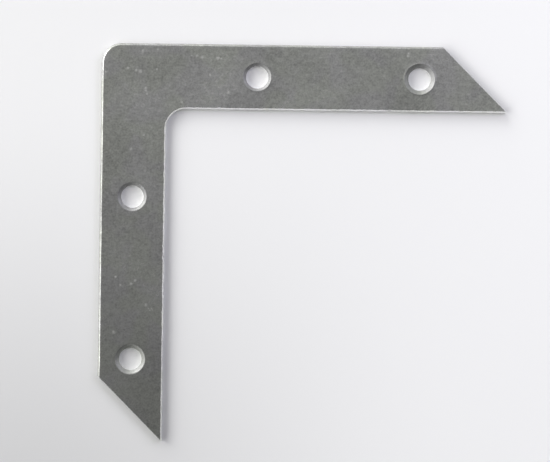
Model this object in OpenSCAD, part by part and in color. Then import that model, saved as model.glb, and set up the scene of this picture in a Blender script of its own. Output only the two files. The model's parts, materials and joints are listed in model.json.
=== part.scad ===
// Flat corner brace: an L of sheet steel that is screwed across a square joint.
// Sizes are in millimetres. The origin is on the underside, where the centre
// lines of the two arms cross. One arm runs along +X and the other along -Y.

/* [Arms] */
// Length of the arm along X, from the outer edge to its point
arm_x = 100; // [70:0.5:200]
// Length of the arm along Y, from the outer edge to its point
arm_y = 98; // [70:0.5:200]
// Width of both arms
arm_w = 16; // [12:0.5:24]
// Thickness of the steel
plate_t = 1.5; // [1.3:0.1:4]
// Angle between each end cut and its arm's edges, in degrees
end_cut_deg = 45; // [40:1:60]

/* [Corner] */
// Radius of the outside corner
outer_r = 5; // [2:0.5:12]
// Radius of the inside corner
inner_r = 5; // [2:0.5:12]

/* [Edges] */
// How far the outer edges roll in over the upper face
roll_w = 0.75; // [0.2:0.05:1]
// How far the outer edges drop below the upper face
roll_h = 0.35; // [0.1:0.05:0.5]
// How far the edges inside the L lean in from their foot to the upper face
lean_w = 0.4; // [0.1:0.05:0.8]
// How far below the upper face that lean starts
lean_h = 1; // [0.3:0.05:1.2]

/* [Screw holes] */
// Outer edge to the near hole, along X
near_hole_x = 38.4; // [28:0.2:40]
// Outer edge to the near hole, along Y
near_hole_y = 37.8; // [28:0.2:40]
// Far hole to the point of the arm along X
far_hole_x = 21.6; // [18:0.2:24]
// Far hole to the point of the arm along Y
far_hole_y = 20.2; // [18:0.2:24]
// Diameter of the near holes
near_hole_d = 5.5; // [3:0.1:6.5]
// Diameter of the near countersinks at the upper face
near_sink_d = 7.1; // [6.8:0.1:8]
// Diameter of the far holes
far_hole_d = 5.5; // [3:0.1:6.5]
// Diameter of the far countersinks at the upper face
far_sink_d = 7.6; // [6.8:0.1:8]
// Included angle of the countersinks, in degrees
sink_deg = 90; // [90:1:120]

/* [Hidden] */
$fn = 96;
steel = [0.62, 0.63, 0.62];

half_w = arm_w / 2;
cut_run = arm_w / tan(end_cut_deg);
// The roll is an arc that leaves the upper face smoothly and drops by roll_h over roll_w
roll_r = (roll_w * roll_w + roll_h * roll_h) / (2 * roll_h);
// How far the cutting shapes run past the metal
past = 1;

// The sliver between a square corner at the origin and the arc that rounds it
module corner_sliver(r) {
    difference() {
        translate([-past, -r]) square([r + past, r + past]);
        translate([r, -r]) circle(r);
    }
}

// The open space inside the L, from its rounded corner at the origin
module inside(r, reach) {
    difference() {
        translate([0, -reach]) square(reach);
        corner_sliver(r);
    }
}

// The L seen from above, with the outside of its corner at the origin
module outline() {
    difference() {
        polygon([
            [0, 0],
            [arm_x - cut_run, 0],
            [arm_x, -arm_w],
            [arm_w, -arm_y],
            [0, cut_run - arm_y]
        ]);
        corner_sliver(outer_r);
        translate([arm_w, -arm_w]) inside(inner_r, arm_x + arm_y);
    }
}

// Sections of the metal that the edges lack, with the wall at x = 0, the metal
// at +x and the upper face at y = 0
module roll_section() {
    difference() {
        translate([-past, -roll_h]) square([past + roll_w, roll_h + past]);
        translate([roll_w, -roll_r]) circle(roll_r);
    }
}

module lean_section() {
    polygon([[-past, -lean_h], [0, -lean_h], [lean_w, 0], [lean_w, past], [-past, past]]);
}

// An edge along X with the given section, from x = start to x = end
module edge_along_x(start, end) {
    translate([start, 0, plate_t]) rotate([90, 0, 90])
        linear_extrude(end - start) children();
}

// An edge round a quarter turn of radius r with the given section
module edge_round(r) {
    rotate([0, 0, 90]) rotate_extrude(angle = 90)
        translate([r, plate_t]) children();
}

module outer_edges() {
    mirror([0, 1, 0]) edge_along_x(outer_r, arm_x) roll_section();
    rotate([0, 0, -90]) edge_along_x(outer_r, arm_y) roll_section();
    translate([outer_r, -outer_r, 0]) edge_round(outer_r) mirror([1, 0]) roll_section();
}

module inner_edges() {
    translate([0, -arm_w, 0]) edge_along_x(arm_w + inner_r, arm_x + past) lean_section();
    translate([arm_w, 0, 0]) mirror([1, 0, 0]) rotate([0, 0, -90])
        edge_along_x(arm_w + inner_r, arm_y + past) lean_section();
    translate([arm_w + inner_r, -arm_w - inner_r, 0]) edge_round(inner_r) lean_section();
}

// A hole with a countersink from the upper face
module screw_hole(hole_d, sink_d) {
    sink_slope = tan(sink_deg / 2);
    sink_depth = (sink_d - hole_d) / 2 / sink_slope;
    translate([0, 0, -past]) cylinder(h = plate_t + 2 * past, d = hole_d);
    translate([0, 0, plate_t - sink_depth])
        cylinder(h = sink_depth + past, d1 = hole_d, d2 = sink_d + 2 * past * sink_slope);
}

module screw_holes() {
    translate([near_hole_x, -half_w]) screw_hole(near_hole_d, near_sink_d);
    translate([arm_x - far_hole_x, -half_w]) screw_hole(far_hole_d, far_sink_d);
    translate([half_w, -near_hole_y]) screw_hole(near_hole_d, near_sink_d);
    translate([half_w, far_hole_y - arm_y]) screw_hole(far_hole_d, far_sink_d);
}

module corner_brace() {
    color(steel) translate([-half_w, half_w, 0]) difference() {
        linear_extrude(plate_t) outline();
        outer_edges();
        inner_edges();
        screw_holes();
    }
}

corner_brace();
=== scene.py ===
import json
import math

import bmesh
import bpy
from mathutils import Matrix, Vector


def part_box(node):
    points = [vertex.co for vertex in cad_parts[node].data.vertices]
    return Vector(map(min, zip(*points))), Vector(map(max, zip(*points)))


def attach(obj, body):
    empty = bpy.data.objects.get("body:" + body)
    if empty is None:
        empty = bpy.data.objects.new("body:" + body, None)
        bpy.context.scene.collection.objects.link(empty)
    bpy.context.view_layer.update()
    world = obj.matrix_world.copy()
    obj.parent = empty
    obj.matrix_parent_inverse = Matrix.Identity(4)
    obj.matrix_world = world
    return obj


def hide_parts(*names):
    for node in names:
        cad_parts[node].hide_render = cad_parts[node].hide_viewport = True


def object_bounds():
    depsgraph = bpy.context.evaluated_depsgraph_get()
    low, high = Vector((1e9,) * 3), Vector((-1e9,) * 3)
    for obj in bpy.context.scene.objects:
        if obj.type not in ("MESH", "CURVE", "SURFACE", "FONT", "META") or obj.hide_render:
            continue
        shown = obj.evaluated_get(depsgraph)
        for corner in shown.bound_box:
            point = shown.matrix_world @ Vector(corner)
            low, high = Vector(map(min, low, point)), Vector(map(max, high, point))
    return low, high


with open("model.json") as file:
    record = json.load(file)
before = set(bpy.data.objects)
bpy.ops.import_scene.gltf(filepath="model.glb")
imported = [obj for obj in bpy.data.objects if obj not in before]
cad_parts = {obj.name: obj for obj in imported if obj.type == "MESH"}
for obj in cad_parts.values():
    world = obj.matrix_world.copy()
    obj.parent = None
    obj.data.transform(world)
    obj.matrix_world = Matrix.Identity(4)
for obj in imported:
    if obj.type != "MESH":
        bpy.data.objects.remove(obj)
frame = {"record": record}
cadLow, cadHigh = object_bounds()
plateCentre = (cadLow + cadHigh) / 2
mm = 0.001       # the brace is drawn in millimetres, and brought to metres when it is whole
touch = 0.005    # points that are closer than this, in millimetres, count as one

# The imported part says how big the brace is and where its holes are.
nodeLow, nodeHigh = (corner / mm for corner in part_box("corner_brace"))
mounts = {mount["name"]: mount for mount in frame["record"]["mounts"]}
print("frame loaded")


def objectMode():
    if bpy.context.object and bpy.context.object.mode != "OBJECT":
        bpy.ops.object.mode_set(mode="OBJECT")
    bpy.ops.object.select_all(action="DESELECT")


def activate(piece):
    objectMode()
    piece.select_set(True)
    bpy.context.view_layer.objects.active = piece


def pick(kind, test):
    # selects the vertices, edges or faces that pass the test, and nothing else
    bpy.ops.mesh.select_mode(type=kind)
    bpy.ops.mesh.select_all(action="DESELECT")
    shape = bmesh.from_edit_mesh(bpy.context.object.data)
    items = {"VERT": shape.verts, "EDGE": shape.edges, "FACE": shape.faces}[kind]
    picked = [item for item in items if test(item)]
    for item in picked:
        item.select_set(True)
    bmesh.update_edit_mesh(bpy.context.object.data)
    return len(picked)


def middle(item):
    return sum((vert.co for vert in item.verts), Vector()) / len(item.verts)


def facesUp(face):
    return face.normal.z > 0.9


def facesDown(face):
    return face.normal.z < -0.9


def clipped(value):
    return min(max(value, 0), 1)


def inset(width, rise):
    # draws a flat face in by width, and up or down by rise
    bpy.ops.mesh.inset(thickness=width, depth=0, use_even_offset=True)
    bpy.ops.transform.translate(value=(0, 0, rise))


brace = {
    "armWidth": 16,
    "outsideRadius": 5,
    "insideRadius": 5,
    "arcSteps": 23,
    "edgeStep": 0.35,      # longest gap between the points along an edge
    "faceDrop": 0.05,      # the face lies this far under the lips of the holes
    "rings": (0.03, 0.08, 0.15, 0.22, 0.3, 0.4, 0.5, 0.62, 0.75),   # drawn in from the edge
    "rollWidth": 0.75,     # how far the outer edges roll in over the face, and how far they drop
    "rollDrop": 0.35,
    "leanWidth": 0.3,      # how far the edges inside the L lean in, and how far down they do
    "leanDrop": 0.5,
    "leanClear": 0.04,     # the torn wall is stretched to this far under the lean
    "tearHeight": 0.72,    # below this the sheared wall is torn, above it burnished
    "tearWidth": 0.05,     # how far the torn part leans in
    "tearSteps": 3,
    "lowerEdge": 0.04,     # the small round at the underside, and its two steps in and down
    "lowerSteps": ((0.3, 0.7), (0.7, 0.3)),
    "flatMargin": 0.2,     # a flat ring that keeps each face's shading flat
    "endEdge": 0.1,        # the small round on the end cuts
    "endSteps": 4,
    "past": (0.5, 2.5),    # the arms are first drawn this much too long, in two steps
    "wallSlope": 0.93,     # where the roll's normal is lower than this it has the walls' zinc; outside the L that is a darker zinc, painted shade over the roll's highlight
    "flatArea": 500,       # only the two flat faces are larger than this, in square millimetres
    "sharpAngle": 32,      # edges that turn less than this, in degrees, are shaded smooth
}
half = brace["armWidth"] / 2
faceLevel = nodeHigh.z - brace["faceDrop"]
# middle of the round inside the corner
bend = Vector((half + brace["insideRadius"], -half - brace["insideRadius"]))


def drawOutline():
    # the square at the corner, with both arms drawn out of its edges
    objectMode()
    bpy.ops.mesh.primitive_plane_add(size=brace["armWidth"], location=(0, 0, brace["tearHeight"]))
    piece = bpy.context.object
    piece.name = "cornerBrace"
    bpy.ops.object.transform_apply(location=True, rotation=True, scale=True)
    bpy.ops.object.mode_set(mode="EDIT")
    nearPast, farPast = brace["past"]
    side = half * 0.9    # an edge with its middle past this is one of the square's own sides
    pick("EDGE", lambda edge: middle(edge).x > side)
    for step in (nodeHigh.x + nearPast - half, farPast):
        bpy.ops.mesh.extrude_region_move(TRANSFORM_OT_translate={"value": (step, 0, 0)})
    pick("EDGE", lambda edge: middle(edge).y < -side and abs(middle(edge).x) < half / 2)
    for step in (nodeLow.y - nearPast + half, -farPast):
        bpy.ops.mesh.extrude_region_move(TRANSFORM_OT_translate={"value": (0, step, 0)})
    pick("EDGE", lambda edge: len(edge.link_faces) == 2)
    bpy.ops.mesh.dissolve_edges(use_verts=False)
    for way, radius in ((-1, brace["outsideRadius"]), (1, brace["insideRadius"])):
        corner = Vector((half * way, -half * way, brace["tearHeight"]))
        pick("VERT", lambda vert: (vert.co - corner).length < touch)
        bpy.ops.mesh.bevel(offset=radius, segments=brace["arcSteps"], affect="VERTICES")
    # what lies past the ends stays undivided, so that the insets don't fold there
    while pick("EDGE", lambda edge: edge.calc_length() > brace["edgeStep"]
               and middle(edge).x < nodeHigh.x + nearPast and middle(edge).y > nodeLow.y - nearPast):
        bpy.ops.mesh.subdivide(number_cuts=1)
    return piece


def rollLevel(gap):
    # height of the outer edges' roll, an arc that leaves the face smoothly
    width, drop = brace["rollWidth"], brace["rollDrop"]
    radius = (width ** 2 + drop ** 2) / (2 * drop)
    return faceLevel - radius + math.sqrt(radius ** 2 - max(width - gap, 0) ** 2)


def leanLevel(gap):
    # height of the wall inside the L
    return faceLevel - brace["leanDrop"] * max(1 - gap / brace["leanWidth"], 0)


def raiseSection():
    # upwards: the burnished wall, the rolled edge, and a flat margin round the face
    pick("FACE", lambda face: True)
    bpy.ops.mesh.extrude_region_move(
        TRANSFORM_OT_translate={"value": (0, 0, rollLevel(0) - brace["tearHeight"])})
    pick("FACE", facesUp)
    last = 0
    for gap in brace["rings"]:
        inset(gap - last, rollLevel(gap) - rollLevel(last))
        last = gap
    inset(brace["flatMargin"], 0)
    # downwards: the torn wall, the small lower edge, and the underside's margin
    pick("FACE", facesDown)
    lowest = brace["lowerEdge"]
    for step in range(brace["tearSteps"]):
        inset(brace["tearWidth"] / brace["tearSteps"],
              (lowest - brace["tearHeight"]) / brace["tearSteps"])
    for acrossShare, downShare in brace["lowerSteps"]:
        inset(lowest * acrossShare, -lowest * downShare)
    inset(brace["flatMargin"], 0)


def insideGap(spot):
    # how far a point of the plate is from the edge inside the L
    if spot.x < bend.x and spot.y > bend.y:
        return (spot.xy - bend).length - brace["insideRadius"]
    return spot.y + half if spot.x >= bend.x else half - spot.x


def leanInside():
    # inside the L the torn wall is stretched, and then its top and the roll's rings are moved
    # down into a leaning wall
    tear, lowest = brace["tearHeight"], brace["lowerEdge"]
    stretch = (leanLevel(0) - brace["leanClear"] - lowest) / (tear - lowest)
    pick("VERT", lambda vert: lowest + touch < vert.co.z < tear + touch
         and insideGap(vert.co) < brace["tearWidth"] * 2)
    bpy.ops.transform.resize(value=(1, 1, stretch), center_override=(0, 0, lowest))
    for gap in (0, *brace["rings"]):
        pick("VERT", lambda vert: vert.co.z > tear + touch and abs(insideGap(vert.co) - gap) < touch)
        bpy.ops.transform.translate(value=(0, 0, leanLevel(gap) - rollLevel(gap)))


def cutEnds():
    # each arm is cut off at 45 degrees, and the cut is closed with a small round
    thickness = faceLevel
    reach = brace["endEdge"]
    for along, tip in ((Vector((1, 0, 0)), Vector((nodeHigh.x, -half, 0))),
                       (Vector((0, -1, 0)), Vector((half, nodeLow.y, 0)))):
        across = Vector((1, 1, 0)) if along.x else Vector((-1, -1, 0))
        for back, clear in ((reach + brace["flatMargin"], False), (reach, True)):
            pick("FACE", lambda face: True)
            bpy.ops.mesh.bisect(plane_co=tip - along * back, plane_no=across, clear_outer=clear)
        pick("EDGE", lambda edge: edge.is_boundary)
        done = 0
        inward = 0
        for step in range(1, brace["endSteps"] + 1):
            turn = math.pi / 2 * step / brace["endSteps"]
            nextDone = reach * math.sin(turn)
            nextInward = reach * (1 - math.cos(turn))
            shrink = 1 - 2 * (nextInward - inward) / (thickness - 2 * inward)
            bpy.ops.mesh.extrude_region_move(
                TRANSFORM_OT_translate={"value": along * (nextDone - done)})
            bpy.ops.transform.resize(value=(1, 1, shrink), center_override=(0, 0, thickness / 2))
            done, inward = nextDone, nextInward
        bpy.ops.mesh.edge_face_add()


screwHole = {
    "steps": 72,
    "joinRadius": 5.2,          # where a hole's rings meet the plate
    "lipTop": 0.14,             # width of the top of the metal pushed up round a mouth
    "lipWidth": 0.11,           # how far it slopes down outside that
    "lipRound": 0.06,
    "rim": 0.4,                 # the rounded edge of a mouth lies within this much of it
    "throatRound": 0.12,
    "lowerRound": 0.05,
    "roundSteps": 5,
    # for each mount in the record: the mouth's radius, how high its lip stands over the face,
    # and how softly the mouth is rounded
    "places": {"x_arm_near_hole": (3.36, 0.01, 0.16), "x_arm_far_hole": (3.7, 0.04, 0.12),
               "y_arm_near_hole": (3.46, 0, 0.2), "y_arm_far_hole": (3.56, 0, 0.25)},
}
holeCentres = {name: Vector(mounts[name]["pos_m"]) / mm for name in screwHole["places"]}


def holeProfile(name):
    # radius and height of each ring from the plate's face down to its underside
    bore = mounts[name]["dims"]["r_mm"]
    mouth, lipHeight, mouthRound = screwHole["places"][name]
    crest = faceLevel + lipHeight
    join = screwHole["joinRadius"]
    # corners of the section: radius, height, and the length over which each is rounded
    lipEnd = mouth + mouthRound + screwHole["lipTop"]
    corners = (
        (join, faceLevel, 0),
        (lipEnd + screwHole["lipWidth"], faceLevel, screwHole["lipRound"]),
        (lipEnd, crest, screwHole["lipRound"]),
        (mouth, crest, mouthRound),
        (bore, crest - (mouth - bore), screwHole["throatRound"]),
        (bore, 0, screwHole["lowerRound"]),
        (bore + brace["flatMargin"] * 2, 0, 0),
        (join, 0, 0),
    )
    rings = []
    for place, (radius, height, length) in enumerate(corners):
        corner = Vector((radius, height))
        if not length:
            rings.append(corner)
            continue
        before = (Vector(corners[place - 1][:2]) - corner).normalized() * length
        after = (Vector(corners[place + 1][:2]) - corner).normalized() * length
        for step in range(screwHole["roundSteps"] + 1):
            share = step / screwHole["roundSteps"]
            rings.append(corner + before * (1 - share) ** 2 + after * share ** 2)
    return rings


def shapeHole(name):
    # a hole in its place, drawn in ring by ring from a circle
    rings = holeProfile(name)
    centre = holeCentres[name]
    objectMode()
    bpy.ops.mesh.primitive_circle_add(vertices=screwHole["steps"], radius=rings[0].x,
                                      location=(centre.x, centre.y, rings[0].y))
    hole = bpy.context.object
    bpy.ops.object.transform_apply(location=True, rotation=True, scale=True)
    bpy.ops.object.mode_set(mode="EDIT")
    pick("EDGE", lambda edge: True)
    for last, ring in zip(rings, rings[1:]):
        bpy.ops.mesh.extrude_region_move(TRANSFORM_OT_translate={"value": (0, 0, ring.y - last.y)})
        grow = ring.x / last.x
        bpy.ops.transform.resize(value=(grow, grow, 1), center_override=centre)
    bpy.ops.object.mode_set(mode="OBJECT")
    return hole


def fitHoles(piece):
    # both flat faces are opened, the holes are added, and the faces are filled again round them
    pick("FACE", lambda face: (facesUp(face) or facesDown(face))
         and face.calc_area() > brace["flatArea"])
    bpy.ops.mesh.delete(type="ONLY_FACE")
    rings = [shapeHole(name) for name in screwHole["places"]]
    activate(piece)
    for ring in rings:
        ring.select_set(True)
    bpy.ops.object.join()
    bpy.ops.object.mode_set(mode="EDIT")
    for above in (False, True):
        pick("EDGE", lambda edge: edge.is_boundary and (middle(edge).z > faceLevel / 2) == above)
        bpy.ops.mesh.fill(use_beauty=True)
    bpy.ops.mesh.select_all(action="SELECT")
    bpy.ops.mesh.remove_doubles(threshold=touch)
    bpy.ops.mesh.normals_make_consistent(inside=False)


# places in the brace's list of materials, where the zinc of the face comes first
surfaces = {"outside": 1, "inside": 2, "sink": 3, "throat": 4}


def placeSurfaces(piece):
    # each face gets its place in the list of materials, while the edges are still even
    def inHole(face):
        isFlat = face.normal.z > 0.98
        reach = 0 if isFlat else screwHole["rim"]
        return not facesDown(face) and any(
            (middle(face) - holeCentres[name]).xy.length < sizes[0] + reach
            for name, sizes in screwHole["places"].items())

    def isThroat(face):
        isUpright = abs(face.normal.z) < 0.3
        return inHole(face) and isUpright

    def isWall(face):
        isSteep = middle(face).z < rollLevel(0) or face.normal.z < brace["wallSlope"]
        return isSteep and not facesDown(face) and not inHole(face)

    def isInside(face):
        return insideGap(middle(face)) < brace["rollWidth"]

    for surface, test in (("outside", lambda face: isWall(face) and not isInside(face)),
                          ("inside", lambda face: isWall(face) and isInside(face)),
                          ("sink", inHole), ("throat", isThroat)):
        pick("FACE", test)
        piece.active_material_index = surfaces[surface]
        bpy.ops.object.material_slot_assign()


wear = {
    "waveSize": 1.4,            # length of the unevenness along the sheared edges
    "waveOutside": 0.06,        # how deep it is outside the L, and inside it
    "waveInside": 0.2,
    "waveDetail": 2,
    # the waves fade out over these lengths above the lower edge, under the face and at the roll's
    # inner side; they start at the first length from the end cuts and grow over the second
    "footFade": 0.1,
    "faceFade": 0.08,
    "rollFade": 0.3,
    "endFade": (0.4, 2),
    # loose unevenness of the torn wall, and how far it stays from that wall's top and the end cuts
    "tornGrit": 0.015,
    "gritClear": 0.1,
    "gritEnd": 0.3,
    # a nick pushes in the edges this near to its place, and softly what lies round them
    "nickReach": 0.3,
    "nickSoftness": 0.5,
    # small nicks in the inside edges: place along x and y, and how far each is pushed in
    "nicks": ((56.8, -7.6, 0.16), (63.2, -7.6, 0.2), (21, -7.6, 0.1), (7.6, -41.9, 0.1),
              (7.6, -44.6, 0.1), (7.6, -58, 0.08)),
}


def nearHole(spot):
    return any((spot - centre).xy.length < screwHole["joinRadius"] for centre in holeCentres.values())


def cutGap(spot):
    # how far a point is from the nearer end cut, measured along the arms
    return min(nodeHigh.x - half - spot.x - spot.y, spot.x + spot.y - nodeLow.y - half)


def edgeFades(piece):
    # how much each point follows the waves outwards, along x and along y
    endClear, endLength = wear["endFade"]
    groups = [piece.vertex_groups.new(name=name) for name in ("outside", "insideX", "insideY")]
    for vert in piece.data.vertices:
        x, y, z = vert.co
        if nearHole(vert.co):
            continue
        fade = clipped((z - brace["lowerEdge"]) / wear["footFade"])
        fade *= clipped((cutGap(vert.co) - endClear) / endLength)
        gap = insideGap(vert.co)
        if gap < brace["rollWidth"]:
            fade *= clipped((brace["rollWidth"] - gap) / wear["rollFade"])
            away = Vector((min(x - bend.x, 0), max(y - bend.y, 0))).normalized()
            groups[1].add([vert.index], -fade * away.x, "REPLACE")
            groups[2].add([vert.index], fade * away.y, "REPLACE")
        else:
            groups[0].add([vert.index], fade * clipped((faceLevel - z) / wear["faceFade"]), "REPLACE")
    return groups


def wearEdges(piece):
    # the sheared edges are a little uneven, and most of all inside the L, while the flat faces,
    # the holes and the end cuts keep their place
    activate(piece)
    clouds = bpy.data.textures.new("edgeWaves", "CLOUDS")
    clouds.noise_scale = wear["waveSize"]
    clouds.noise_depth = wear["waveDetail"]
    ways = (("NORMAL", wear["waveOutside"], 1), ("X", -wear["waveInside"], 0.5),
            ("Y", wear["waveInside"], 0.5))
    for group, (way, strength, level) in zip(edgeFades(piece), ways):
        waves = piece.modifiers.new("waves", "DISPLACE")
        waves.texture = clouds
        waves.texture_coords = "LOCAL"
        waves.vertex_group = group.name
        waves.direction = way
        waves.mid_level = level
        waves.strength = strength
    for waves in list(piece.modifiers):
        bpy.ops.object.modifier_apply(modifier=waves.name)
    piece.vertex_groups.clear()
    bpy.ops.object.mode_set(mode="EDIT")
    pick("FACE", lambda face: abs(face.normal.z) > 0.998)    # the flat faces stay out of reach
    bpy.ops.mesh.hide()
    for x, y, depth in wear["nicks"]:
        place = Vector((x, y, faceLevel))
        pick("VERT", lambda vert: not vert.hide and (vert.co - place).length < wear["nickReach"])
        down = -depth / 3
        push = Vector((-depth, 0, down)) if x < half else Vector((0, depth, down))
        bpy.ops.transform.translate(value=push, use_proportional_edit=True,
                                    proportional_edit_falloff="SMOOTH",
                                    proportional_size=wear["nickSoftness"])
    gritTop = brace["tearHeight"] - wear["gritClear"]
    pick("VERT", lambda vert: brace["lowerEdge"] + touch < vert.co.z < gritTop
         and not nearHole(vert.co) and cutGap(vert.co) > wear["gritEnd"])
    bpy.ops.transform.vertex_random(offset=wear["tornGrit"], uniform=0, normal=0, seed=5)
    bpy.ops.mesh.reveal(select=False)


def finishPiece(piece):
    # millimetres become metres, and the rounded edges are shaded smooth
    activate(piece)
    piece.scale = (mm, mm, mm)
    bpy.ops.object.transform_apply(location=True, rotation=True, scale=True)
    bpy.ops.object.shade_smooth_by_angle(angle=math.radians(brace["sharpAngle"]))


def newGroup(name, inputs, outputs):
    # an empty shader node group: inputs are (name, socket, value), outputs are (name, socket)
    group = bpy.data.node_groups.new(name, "ShaderNodeTree")
    for label, socket, value in inputs:
        item = group.interface.new_socket(label, in_out="INPUT", socket_type=socket)
        item.default_value = value
    for label, socket in outputs:
        group.interface.new_socket(label, in_out="OUTPUT", socket_type=socket)
    return group, group.nodes.new("NodeGroupInput"), group.nodes.new("NodeGroupOutput")


def addNode(tree, kind, settings=None, values=None):
    # values are plain values or the output sockets that feed the inputs
    node = tree.nodes.new("ShaderNode" + kind)
    for label, value in (settings or {}).items():
        setattr(node, label, value)
    for label, value in (values or {}).items():
        if isinstance(value, bpy.types.NodeSocket):
            tree.links.new(value, node.inputs[label])
        else:
            node.inputs[label].default_value = value
    return node


def calculate(tree, operation, first, second):
    return addNode(tree, "Math", {"operation": operation}, {0: first, 1: second}).outputs[0]


def spread(tree, value, low, high, newLow=0.0, newHigh=1.0):
    # low..high becomes newLow..newHigh with soft ends
    node = addNode(tree, "MapRange", {"interpolation_type": "SMOOTHSTEP"},
                   {"Value": value, "From Min": low, "From Max": high,
                    "To Min": newLow, "To Max": newHigh})
    return node.outputs["Result"]


def noise(tree, where, size, detail, roughness, distortion=0.0):
    # size is the length of one wave in millimetres
    node = addNode(tree, "TexNoise", None,
                   {"Vector": where, "Scale": 1 / (size * mm), "Detail": detail,
                    "Roughness": roughness, "Distortion": distortion})
    return node.outputs["Fac"]


def layeredNoise(tree, where, layers):
    # several sizes of noise added up, each with its own weight
    total = 0.0
    for size, detail, roughness, weight in layers:
        layer = calculate(tree, "MULTIPLY", noise(tree, where, size, detail, roughness), weight)
        total = calculate(tree, "ADD", layer, total)
    return total


def mixColors(tree, factor, first, second, blend="MIX"):
    node = addNode(tree, "Mix", {"data_type": "RGBA", "blend_type": blend},
                   {"Factor": factor, 6: first, 7: second})
    return node.outputs[2]


def mixValues(tree, factor, first, second):
    node = addNode(tree, "Mix", {"data_type": "FLOAT"}, {"Factor": factor, 2: first, 3: second})
    return node.outputs[0]


def scaleColor(tree, color, factor):
    node = addNode(tree, "VectorMath", {"operation": "SCALE"}, {0: color, "Scale": factor})
    return node.outputs[0]


def addBump(tree, shader, height):
    # height is in metres
    bump = addNode(tree, "Bump", None, {"Height": height, "Distance": 1.0})
    tree.links.new(bump.outputs["Normal"], shader.inputs["Normal"])


zinc = {
    # layers of the tone: length of a wave in millimetres, detail, roughness and weight
    "toneLayers": ((0.48, 3, 0.6, 0.44), (1.3, 2, 0.55, 0.3), (14, 1, 0.5, 0.26)),
    "toneGain": 6,                  # the layers stay close to their middle, so they are widened
    "toneEnds": (0.35, 0.65),       # the tones between which the roughness changes
    "castNoise": (9, 1, 0.5, 0.6),  # the cast: wave, detail, roughness and distortion
    "castEnds": (0.4, 0.62),        # it is full where this noise is low, and gone where it is high
    "castTint": (1.0, 1.02, 0.965, 1),
    "grainLayers": ((0.25, 2, 0.6, 0.5), (1.6, 2, 0.5, 1)),
    # the face and the countersinks: brightness, mottle, roughness, how far the roughness
    # follows the tone, and depth of the grain in millimetres
    "face": (0.6, 0.38, 0.3, 0.03, 0.004),
    # the countersinks' brightness, lower than the face's, is painted shade in their hollows
    "sink": (0.4, 0.08, 0.62, 0.04, 0.003),
    # the sheared walls outside and inside the L and the holes' straight walls: brightness,
    # how far it falls in the torn part, and roughness
    # painted shade: the walls outside the L are a darker copy of the zinc, which tones down their
    # highlights
    "outside": (0.4, 0.4, 0.6),
    # painted sheen: the leaning walls inside the L are a brighter copy of the zinc, which brightens
    # their reflection
    "inside": (0.97, 1, 0.4),
    # painted light: the holes' straight walls are a brighter copy of the zinc, which throws more
    # light into the holes
    "throat": (0.85, 1, 0.75),
    "wallMottle": 0.25,
    # their torn part and drag lines: lengths in millimetres, and each noise by its wave, detail
    # and roughness
    "tornWander": 0.4,              # how far the line between burnished and torn wanders
    "tornBlend": 0.04,              # how softly one turns into the other
    "wanderNoise": (0.8, 3, 0.6),
    "dragNoise": (0.12, 2, 0.6),
    "dragStretch": 0.08,            # width of the drag lines as a part of their length
    "dragDepth": 0.006,
    "gritNoise": (0.14, 3, 0.7),
    "gritDepth": 0.02,
    "tornRoughness": 0.6,           # the torn part is at least this rough
}


def zincToneGroup():
    # the cloudy tone of old zinc: a grey that wanders, with a faint green cast here and there
    group, source, result = newGroup(
        "zincTone",
        (("Brightness", "NodeSocketFloat", 0.5), ("Mottle", "NodeSocketFloat", 0.1)),
        (("Color", "NodeSocketColor"), ("Tone", "NodeSocketFloat")))
    where = addNode(group, "TexCoord").outputs["Object"]
    tone = layeredNoise(group, where, zinc["toneLayers"])
    centred = calculate(group, "SUBTRACT", tone, 0.5)
    gain = calculate(group, "MULTIPLY", source.outputs["Mottle"], zinc["toneGain"])
    factor = calculate(group, "ADD", calculate(group, "MULTIPLY", centred, gain), 1)
    grey = calculate(group, "MULTIPLY", factor, source.outputs["Brightness"])
    cast = spread(group, noise(group, where, *zinc["castNoise"]), *zinc["castEnds"])
    tint = mixColors(group, cast, zinc["castTint"], (1.0, 1.0, 1.0, 1))
    group.links.new(scaleColor(group, tint, grey), result.inputs["Color"])
    group.links.new(tone, result.inputs["Tone"])
    return group


marks = {
    # pale specks on the upper face, partly scuffs and partly painted glints of tiny bumps, in
    # millimetres: x, y and size
    "specksAndGlints": ((14.2, 5.1, 0.3), (15.5, 5.1, 0.4), (16.8, 4.7, 0.5), (20.6, 4.5, 0.55),
               (21.5, 4.4, 0.35), (5.7, 1.6, 0.35), (18.8, 0.3, 0.42), (23.4, -3.9, 0.5),
               (-1.4, 1.8, 0.4), (0.6, 1.3, 0.45), (1.6, 1.0, 0.62), (3, -3, 0.4), (3.1, -3.7, 0.35),
               (3.3, -4.5, 0.35), (11.9, -6.4, 0.35), (2.2, 6.1, 0.5), (5.8, 6.5, 0.4),
               (-6.9, 0.9, 0.4), (67.4, 5.7, 0.42), (67.5, 6.3, 0.3), (-0.4, -18.1, 0.42),
               (2.7, -14.6, 0.36), (-3.8, -49.6, 0.45), (-2.6, -51.6, 0.4), (0, -51.3, 0.5),
               (1, -50.4, 0.42), (3.7, -56.4, 0.48), (4.4, -57.3, 0.24), (4.7, -57.7, 0.22),
               (5.1, -57.2, 0.24), (5.4, -57.6, 0.22), (-4.1, -63.2, 0.5)),
    "color": (0.95, 0.95, 0.93, 1),
    "lift": 0.9,                # how far the specks take on that colour
    "chalk": 0.13,              # how far they are chalky white instead of metal
    "ends": (1.2, -0.1),        # where a speck ends and where it is full, in parts of its size
    "raggedness": 1.6,
    "raggedNoise": (0.45, 3, 0.7),
}


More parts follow.
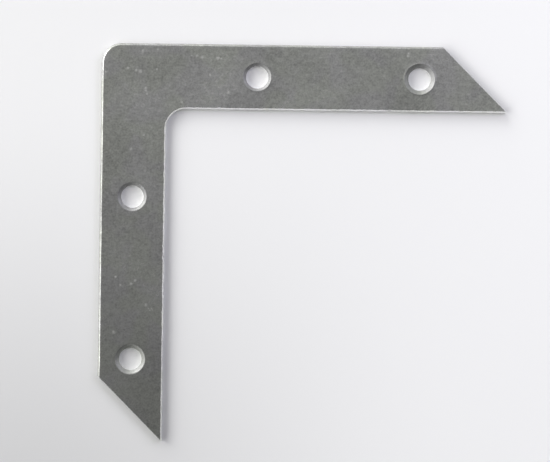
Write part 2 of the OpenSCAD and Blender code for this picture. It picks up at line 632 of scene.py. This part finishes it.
def scuffAndGlintGroup():
    # a mask of the specks, partly scuffs and partly painted glints, each with a ragged outline
    group, source, result = newGroup(
        "paleSpecksAndGlints", (("Raggedness", "NodeSocketFloat", 1.0),), (("Mask", "NodeSocketFloat"),))
    where = addNode(group, "TexCoord").outputs["Object"]
    ragged = calculate(group, "SUBTRACT", noise(group, where, *marks["raggedNoise"]), 0.5)
    ragged = calculate(group, "MULTIPLY", ragged, source.outputs["Raggedness"])
    mask = 0.0
    for x, y, size in marks["specksAndGlints"]:
        gap = addNode(group, "VectorMath", {"operation": "DISTANCE"},
                      {0: where, 1: (x * mm, y * mm, faceLevel * mm)})
        gap = calculate(group, "DIVIDE", gap.outputs["Value"], size * mm)
        gap = calculate(group, "ADD", gap, ragged)
        mask = calculate(group, "MAXIMUM", spread(group, gap, *marks["ends"]), mask)
    group.links.new(mask, result.inputs["Mask"])
    return group


def grainGroup():
    # height of the fine grain under the zinc, in metres, from its depth in millimetres
    group, source, result = newGroup(
        "plateGrain", (("Depth", "NodeSocketFloat", 0.002),), (("Height", "NodeSocketFloat"),))
    where = addNode(group, "TexCoord").outputs["Object"]
    height = layeredNoise(group, where, zinc["grainLayers"])
    height = calculate(group, "MULTIPLY", height, source.outputs["Depth"])
    height = calculate(group, "MULTIPLY", height, mm)
    group.links.new(height, result.inputs["Height"])
    return group


def placeGroup(tree, group, values):
    node = tree.nodes.new("ShaderNodeGroup")
    node.node_tree = group
    for label, value in values.items():
        node.inputs[label].default_value = value
    return node


def startMaterial(name, metallic, roughness):
    material = bpy.data.materials.new(name)
    material.use_nodes = True
    tree = material.node_tree
    shader = tree.nodes["Principled BSDF"]
    shader.inputs["Metallic"].default_value = metallic
    shader.inputs["Roughness"].default_value = roughness
    return material, tree, shader


def plateZinc(groups, name, values):
    # zinc on flat or pressed metal: its roughness follows the tone, over a fine grain
    brightness, mottle, roughness, play, depth = values
    material, tree, shader = startMaterial(name, 1, roughness)
    tone = placeGroup(tree, groups["tone"], {"Brightness": brightness, "Mottle": mottle})
    tree.links.new(tone.outputs["Color"], shader.inputs["Base Color"])
    rough = spread(tree, tone.outputs["Tone"], *zinc["toneEnds"], roughness + play, roughness - play)
    tree.links.new(rough, shader.inputs["Roughness"])
    grain = placeGroup(tree, groups["grain"], {"Depth": depth})
    addBump(tree, shader, grain.outputs["Height"])
    return material, tree, shader, tone


def dullZinc(groups):
    # the face, with its pale specks, partly scuffs and partly painted glints
    material, tree, shader, tone = plateZinc(groups, "dullZinc", zinc["face"])
    specksAndGlints = placeGroup(tree, groups["specksAndGlints"], {"Raggedness": marks["raggedness"]})
    lift = calculate(tree, "MULTIPLY", specksAndGlints.outputs["Mask"], marks["lift"])
    color = mixColors(tree, lift, tone.outputs["Color"], marks["color"])
    tree.links.new(color, shader.inputs["Base Color"])
    chalk = calculate(tree, "MULTIPLY", specksAndGlints.outputs["Mask"], marks["chalk"])
    tree.links.new(calculate(tree, "SUBTRACT", 1.0, chalk), shader.inputs["Metallic"])
    return material


def coinedZincPaintedShade(groups):
    # the countersinks are pressed smooth, and painted darker than the face as shade in their hollows
    return plateZinc(groups, "coinedZincPaintedShade", zinc["sink"])[0]


def shearedZinc(groups, name, values):
    # burnished bright above, torn and matt below, with fine upright drag lines
    brightness, tornFactor, roughness = values
    material, tree, shader = startMaterial(name, 1, roughness)
    where = addNode(tree, "TexCoord").outputs["Object"]
    height = addNode(tree, "SeparateXYZ", None, {"Vector": where}).outputs["Z"]
    wander = calculate(tree, "SUBTRACT", noise(tree, where, *zinc["wanderNoise"]), 0.5)
    wander = calculate(tree, "MULTIPLY", wander, zinc["tornWander"] * mm)
    level = calculate(tree, "ADD", height, wander)
    torn = spread(tree, level, (brace["tearHeight"] + zinc["tornBlend"]) * mm,
                  (brace["tearHeight"] - zinc["tornBlend"]) * mm)
    tone = placeGroup(tree, groups["tone"], {"Brightness": brightness, "Mottle": zinc["wallMottle"]})
    tornTint = (tornFactor, tornFactor, tornFactor, 1)
    color = mixColors(tree, torn, tone.outputs["Color"], tornTint, "MULTIPLY")
    tree.links.new(color, shader.inputs["Base Color"])
    rough = spread(tree, torn, 0, 1, roughness, max(roughness, zinc["tornRoughness"]))
    tree.links.new(rough, shader.inputs["Roughness"])
    upright = addNode(tree, "Mapping", None, {"Vector": where, "Scale": (1, 1, zinc["dragStretch"])})
    drag = noise(tree, upright.outputs["Vector"], *zinc["dragNoise"])
    grit = noise(tree, where, *zinc["gritNoise"])
    depth = spread(tree, torn, 0, 1, zinc["dragDepth"] * mm, zinc["gritDepth"] * mm)
    addBump(tree, shader, calculate(tree, "MULTIPLY", mixValues(tree, torn, drag, grit), depth))
    return material


groups = {"tone": zincToneGroup(), "specksAndGlints": scuffAndGlintGroup(), "grain": grainGroup()}
piece = drawOutline()
raiseSection()
leanInside()
cutEnds()
print("plate drawn")
fitHoles(piece)
print("holes fitted")
for material in (dullZinc(groups),
                 shearedZinc(groups, "outsideZincPaintedShade", zinc["outside"]),
                 shearedZinc(groups, "insideZincPaintedSheen", zinc["inside"]),
                 coinedZincPaintedShade(groups),
                 shearedZinc(groups, "throatZincPaintedLight", zinc["throat"])):
    piece.data.materials.append(material)
placeSurfaces(piece)
print("zinc laid on")
wearEdges(piece)
print("edges worn")
finishPiece(piece)
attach(piece, "root")
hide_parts("corner_brace")
print("brace finished,", len(piece.data.polygons), "faces")


studio = {
    "floorSize": 4,                 # in metres
    "floorColor": (0.955, 0.955, 0.96),
    "floorRoughness": 0.9,
    "floorSpecular": 0.2,
    "floorShade": 0.27,             # painted shade: how much darker the floor is at its near left
    "shadeX": (0.085, -0.03),       # where that sets in and where it is full, in metres
    "shadeY": (0.0, -0.12),
    "floorGap": 0.02,               # the floor lies this far under the brace
    "ceiling": 0.255,               # its brightness straight above
    "ceilingSlant": 2.0,            # how much brighter the ceiling gets towards +Y
    "ceilingMost": 0.365,
    "ceilingLeast": 0.08,
    "ceilingEdge": (0.743, 0.883),  # heights on a unit dome over which the ceiling sets in
    "walls": 0.03,
    "skyColor": (0.998, 1.0, 0.988),
    # windows: strength, azimuth, degrees from the middle to where it is full and to its end,
    # and the heights on that dome at which it sets in, is full, starts to fade, and ends
    "windows": ((8.0, 132, (4, 42), (-0.035, 0.276, 0.3, 0.58)),
                (1.1, 92, (5, 38), (-0.02, 0.2, 0.5, 0.8)),
                (3.15, 193, (20, 55), (0.03, 0.42, 0.559, 0.788))),
    # soft lamps: power, size, place from the middle of the brace in metres, and colour
    "lamps": ((0.77, 0.3, (0.33, 0.2, 0.27), (0.96, 0.945, 1.08)),
              (0.25, 0.2, (-0.303, 0.175, 0.18), (1.0, 0.99, 0.965))),
}


def makeFloor():
    objectMode()
    bpy.ops.mesh.primitive_plane_add(size=studio["floorSize"],
                                     location=(0, 0, -studio["floorGap"] * mm))
    floor = bpy.context.object
    floor.name = "floor"
    bpy.ops.object.transform_apply(location=True, rotation=True, scale=True)
    material, tree, shader = startMaterial("paper", 0, studio["floorRoughness"])
    shader.inputs["Specular IOR Level"].default_value = studio["floorSpecular"]
    where = addNode(tree, "TexCoord").outputs["Object"]
    part = addNode(tree, "SeparateXYZ", None, {"Vector": where})
    # painted shade, darker towards the floor's near left corner
    corner = calculate(tree, "MULTIPLY", spread(tree, part.outputs["X"], *studio["shadeX"]),
                       spread(tree, part.outputs["Y"], *studio["shadeY"]))
    shade = calculate(tree, "MULTIPLY", corner, studio["floorShade"])
    color = scaleColor(tree, studio["floorColor"], calculate(tree, "SUBTRACT", 1.0, shade))
    tree.links.new(color, shader.inputs["Base Color"])
    floor.data.materials.append(material)


def makeRoom():
    # the world: windows and a ceiling, as brightness over a dome
    world = bpy.data.worlds.new("softRoom")
    bpy.context.scene.world = world
    world.use_nodes = True
    tree = world.node_tree
    direction = addNode(tree, "TexCoord").outputs["Generated"]
    part = addNode(tree, "SeparateXYZ", None, {"Vector": direction})
    height = part.outputs["Z"]
    level = addNode(tree, "VectorMath", {"operation": "MULTIPLY"}, {0: direction, 1: (1, 1, 0)})
    level = addNode(tree, "VectorMath", {"operation": "NORMALIZE"}, {0: level.outputs[0]})
    room = 0.0
    for strength, azimuth, sides, heights in studio["windows"]:
        azimuth = math.radians(azimuth)
        toward = addNode(tree, "VectorMath", {"operation": "DOT_PRODUCT"},
                         {0: level.outputs[0], 1: (math.cos(azimuth), math.sin(azimuth), 0)})
        full, end = (math.cos(math.radians(side)) for side in sides)
        low, lowFull, highFull, high = heights
        window = calculate(tree, "MULTIPLY", spread(tree, toward.outputs["Value"], end, full),
                           spread(tree, height, low, lowFull))
        window = calculate(tree, "MULTIPLY", window, spread(tree, height, high, highFull))
        room = calculate(tree, "ADD", calculate(tree, "MULTIPLY", window, strength), room)
    # a dim ceiling, brighter towards +Y
    ceiling = calculate(tree, "MULTIPLY", part.outputs["Y"], studio["ceilingSlant"])
    ceiling = calculate(tree, "ADD", ceiling, studio["ceiling"])
    ceiling = calculate(tree, "MINIMUM", ceiling, studio["ceilingMost"])
    ceiling = calculate(tree, "MAXIMUM", ceiling, studio["ceilingLeast"])
    above = mixValues(tree, spread(tree, height, *studio["ceilingEdge"]), studio["walls"], ceiling)
    background = tree.nodes["Background"]
    background.inputs["Color"].default_value = (*studio["skyColor"], 1)
    tree.links.new(calculate(tree, "ADD", room, above), background.inputs["Strength"])


def makeLamps():
    for power, size, place, color in studio["lamps"]:
        lamp = bpy.data.lights.new("softLamp", "AREA")
        lamp.shape = "DISK"
        lamp.size = size
        lamp.energy = power
        lamp.color = color
        softLamp = bpy.data.objects.new("softLamp", lamp)
        bpy.context.collection.objects.link(softLamp)
        softLamp.location = plateCentre + Vector(place)
        softLamp.rotation_euler = Vector(place).to_track_quat("Z", "Y").to_euler()


view = {
    "shift": (-6.74, 3.19),     # from over the middle of the brace, in millimetres
    "height": 400,
    "turn": 0.754,              # degrees
    "lens": 106.04,
    "sensor": 36,
    "nearClip": 0.01,           # in metres
}


def makeCamera():
    camera = bpy.data.objects.new("camera", bpy.data.cameras.new("camera"))
    bpy.context.collection.objects.link(camera)
    across, up = view["shift"]
    camera.location = (plateCentre.x + across * mm, plateCentre.y + up * mm, view["height"] * mm)
    camera.rotation_euler = (0, 0, math.radians(view["turn"]))
    camera.data.lens = view["lens"]
    camera.data.sensor_width = view["sensor"]
    camera.data.clip_start = view["nearClip"]
    bpy.context.scene.camera = camera


makeFloor()
makeRoom()
makeLamps()
makeCamera()
bpy.context.scene.view_settings.view_transform = "Standard"
print("studio ready")
